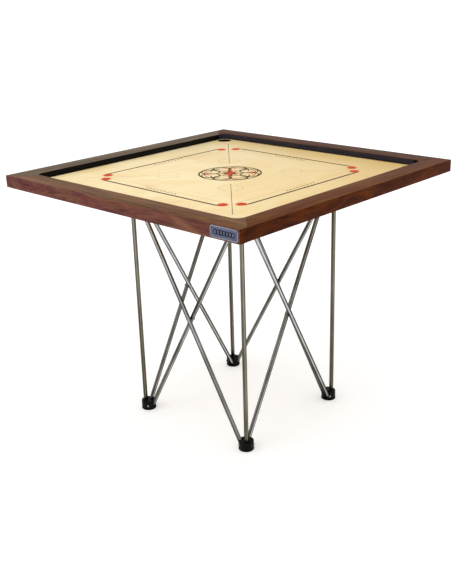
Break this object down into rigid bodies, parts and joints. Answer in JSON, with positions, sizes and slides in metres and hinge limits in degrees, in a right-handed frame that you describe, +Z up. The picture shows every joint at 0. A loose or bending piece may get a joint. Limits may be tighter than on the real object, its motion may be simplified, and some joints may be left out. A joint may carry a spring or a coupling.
{
  "type": "carrom board with folding stand",
  "caption": "Square carrom board with a raised rosewood frame, corner pockets and nets, resting on a folding stand of crossed plated rods with black hubs.",
  "frame": {"origin": "on the floor under the centre of the board", "axes": "+Z up, +X right, -Y front; the label plate is on the front rail near its right end"},
  "size_m": [0.855, 0.855, 0.713],
  "materials": {
    "rosewood": "Indian rosewood, oiled and lacquered, satin",
    "birch_ply": "birch-faced plywood under polished clear lacquer",
    "softwood": "planed, unfinished",
    "cotton_net": "knotted cotton cord",
    "label_metal": "anodised, with a bright border",
    "hub_plastic": "glass-filled nylon, moulded",
    "foot_rubber": "moulded rubber",
    "plated_tube": "nickel-plated steel tube",
    "bright_rod": "drawn bright steel",
    "zinc_pin": "zinc-plated steel"
  },
  "bodies": {
    "foot_front_right": {"foot_hub_front_right": "hub_plastic", "rubber_foot_front_right": "foot_rubber", "upright_tube_front_right": "plated_tube", "front_outer_rod_foot_pin": "zinc_pin", "right_inner_rod_foot_pin": "zinc_pin"},
    "top_front_right": {"top_hub_front_right": "hub_plastic", "inner_rod_front_right": "bright_rod", "right_outer_rod_top_pin": "zinc_pin", "front_inner_rod_top_pin": "zinc_pin"},
    "foot_back_right": {"foot_hub_back_right": "hub_plastic", "rubber_foot_back_right": "foot_rubber", "upright_tube_back_right": "plated_tube", "right_outer_rod_foot_pin": "zinc_pin", "back_inner_rod_foot_pin": "zinc_pin"},
    "top_back_right": {"top_hub_back_right": "hub_plastic", "inner_rod_back_right": "bright_rod", "back_outer_rod_top_pin": "zinc_pin", "right_inner_rod_top_pin": "zinc_pin"},
    "foot_back_left": {"foot_hub_back_left": "hub_plastic", "rubber_foot_back_left": "foot_rubber", "upright_tube_back_left": "plated_tube", "back_outer_rod_foot_pin": "zinc_pin", "left_inner_rod_foot_pin": "zinc_pin"},
    "top_back_left": {"top_hub_back_left": "hub_plastic", "inner_rod_back_left": "bright_rod", "left_outer_rod_top_pin": "zinc_pin", "back_inner_rod_top_pin": "zinc_pin"},
    "foot_front_left": {"foot_hub_front_left": "hub_plastic", "rubber_foot_front_left": "foot_rubber", "upright_tube_front_left": "plated_tube", "left_outer_rod_foot_pin": "zinc_pin", "front_inner_rod_foot_pin": "zinc_pin"},
    "top_front_left": {"top_hub_front_left": "hub_plastic", "inner_rod_front_left": "bright_rod", "front_outer_rod_top_pin": "zinc_pin", "left_inner_rod_top_pin": "zinc_pin"},
    "front_outer_rod": {"front_outer_rod": "plated_tube", "front_crossing_rivet": "zinc_pin"},
    "front_inner_rod": {"front_inner_rod": "plated_tube"},
    "right_outer_rod": {"right_outer_rod": "plated_tube"},
    "right_inner_rod": {"right_inner_rod": "plated_tube", "right_crossing_rivet": "zinc_pin"},
    "back_outer_rod": {"back_outer_rod": "plated_tube"},
    "back_inner_rod": {"back_inner_rod": "plated_tube", "back_crossing_rivet": "zinc_pin"},
    "left_outer_rod": {"left_outer_rod": "plated_tube", "left_crossing_rivet": "zinc_pin"},
    "left_inner_rod": {"left_inner_rod": "plated_tube"},
    "board": {"playing_panel": "birch_ply", "label_plate": "label_metal", "batten_front": "softwood", "batten_back": "softwood", "rail_front": "rosewood", "rail_right": "rosewood", "rail_back": "rosewood", "rail_left": "rosewood", "pocket_net_front_right": "cotton_net", "pocket_net_back_right": "cotton_net", "pocket_net_back_left": "cotton_net", "pocket_net_front_left": "cotton_net"}
  },
  "joints": [
    {"name": "stand_fold", "type": "hinge", "parent": "foot_front_right", "child": "front_outer_rod", "pos_m": [0.18991, -0.18522, 0.0135], "axis": [-0.0279, 0.9996, 0], "range_deg": [0, 27.45]},
    {"name": "front_crossing_hinge", "type": "hinge", "parent": "front_outer_rod", "child": "front_inner_rod", "pos_m": [0.01231, -0.18393, 0.33025], "axis": [0.0279, -0.9996, 0], "range_deg": [0, 54.9]},
    {"name": "foot_front_left_hinge", "type": "hinge", "parent": "front_inner_rod", "child": "foot_front_left", "pos_m": [-0.1653, -0.18263, 0.0135], "axis": [-0.0279, 0.9996, 0], "range_deg": [0, 27.45]},
    {"name": "top_front_left_hinge", "type": "hinge", "parent": "front_outer_rod", "child": "top_front_left", "pos_m": [-0.16495, -0.19513, 0.647], "axis": [0.0279, -0.9996, 0], "range_deg": [0, 27.45]},
    {"name": "top_front_right_hinge", "type": "hinge", "parent": "front_inner_rod", "child": "top_front_right", "pos_m": [0.18956, -0.17272, 0.647], "axis": [-0.0279, 0.9996, 0], "range_deg": [0, 27.45]},
    {"name": "right_inner_rod_hinge", "type": "hinge", "parent": "foot_front_right", "child": "right_inner_rod", "pos_m": [0.19563, -0.1663, 0.0135], "axis": [0.9996, 0.0279, 0], "range_deg": [0, 27.45]},
    {"name": "right_crossing_hinge", "type": "hinge", "parent": "right_inner_rod", "child": "right_outer_rod", "pos_m": [0.19693, 0.01131, 0.33025], "axis": [-0.9996, -0.0279, 0], "range_deg": [0, 54.9]},
    {"name": "foot_back_right_hinge", "type": "hinge", "parent": "right_outer_rod", "child": "foot_back_right", "pos_m": [0.19822, 0.18891, 0.0135], "axis": [0.9996, 0.0279, 0], "range_deg": [0, 27.45]},
    {"name": "top_back_right_hinge", "type": "hinge", "parent": "right_inner_rod", "child": "top_back_right", "pos_m": [0.18572, 0.18856, 0.647], "axis": [-0.9996, -0.0279, 0], "range_deg": [0, 27.45]},
    {"name": "left_outer_rod_hinge", "type": "hinge", "parent": "foot_front_left", "child": "left_outer_rod", "pos_m": [-0.18422, -0.17691, 0.0135], "axis": [0.9996, 0.0279, 0], "range_deg": [0, 27.45]},
    {"name": "left_crossing_hinge", "type": "hinge", "parent": "left_outer_rod", "child": "left_inner_rod", "pos_m": [-0.18293, 0.00069, 0.33025], "axis": [-0.9996, -0.0279, 0], "range_deg": [0, 54.9]},
    {"name": "foot_back_left_hinge", "type": "hinge", "parent": "left_inner_rod", "child": "foot_back_left", "pos_m": [-0.18163, 0.1783, 0.0135], "axis": [0.9996, 0.0279, 0], "range_deg": [0, 27.45]},
    {"name": "top_back_left_hinge", "type": "hinge", "parent": "left_outer_rod", "child": "top_back_left", "pos_m": [-0.19413, 0.17795, 0.647], "axis": [-0.9996, -0.0279, 0], "range_deg": [0, 27.45]},
    {"name": "back_inner_rod_hinge", "type": "hinge", "parent": "foot_back_right", "child": "back_inner_rod", "pos_m": [0.1793, 0.19463, 0.0135], "axis": [-0.0279, 0.9996, 0], "range_deg": [0, 27.45]},
    {"name": "back_crossing_hinge", "type": "hinge", "parent": "back_inner_rod", "child": "back_outer_rod", "pos_m": [0.00169, 0.19593, 0.33025], "axis": [0.0279, -0.9996, 0], "range_deg": [0, 54.9]},
    {"name": "board_lift", "type": "slide", "parent": "top_front_right", "child": "board", "axis": [0, 0, 1], "range_m": [0, 0.15]}
  ],
  "couplings": [
    {"joint": "front_crossing_hinge", "follows": "stand_fold", "ratio": 2},
    {"joint": "foot_front_left_hinge", "follows": "stand_fold", "ratio": 1},
    {"joint": "top_front_left_hinge", "follows": "stand_fold", "ratio": 1},
    {"joint": "top_front_right_hinge", "follows": "stand_fold", "ratio": 1},
    {"joint": "right_inner_rod_hinge", "follows": "stand_fold", "ratio": 1},
    {"joint": "right_crossing_hinge", "follows": "stand_fold", "ratio": 2},
    {"joint": "foot_back_right_hinge", "follows": "stand_fold", "ratio": 1},
    {"joint": "top_back_right_hinge", "follows": "stand_fold", "ratio": 1},
    {"joint": "left_outer_rod_hinge", "follows": "stand_fold", "ratio": 1},
    {"joint": "left_crossing_hinge", "follows": "stand_fold", "ratio": 2},
    {"joint": "foot_back_left_hinge", "follows": "stand_fold", "ratio": 1},
    {"joint": "top_back_left_hinge", "follows": "stand_fold", "ratio": 1},
    {"joint": "back_inner_rod_hinge", "follows": "stand_fold", "ratio": 1},
    {"joint": "back_crossing_hinge", "follows": "stand_fold", "ratio": 2}
  ]
}
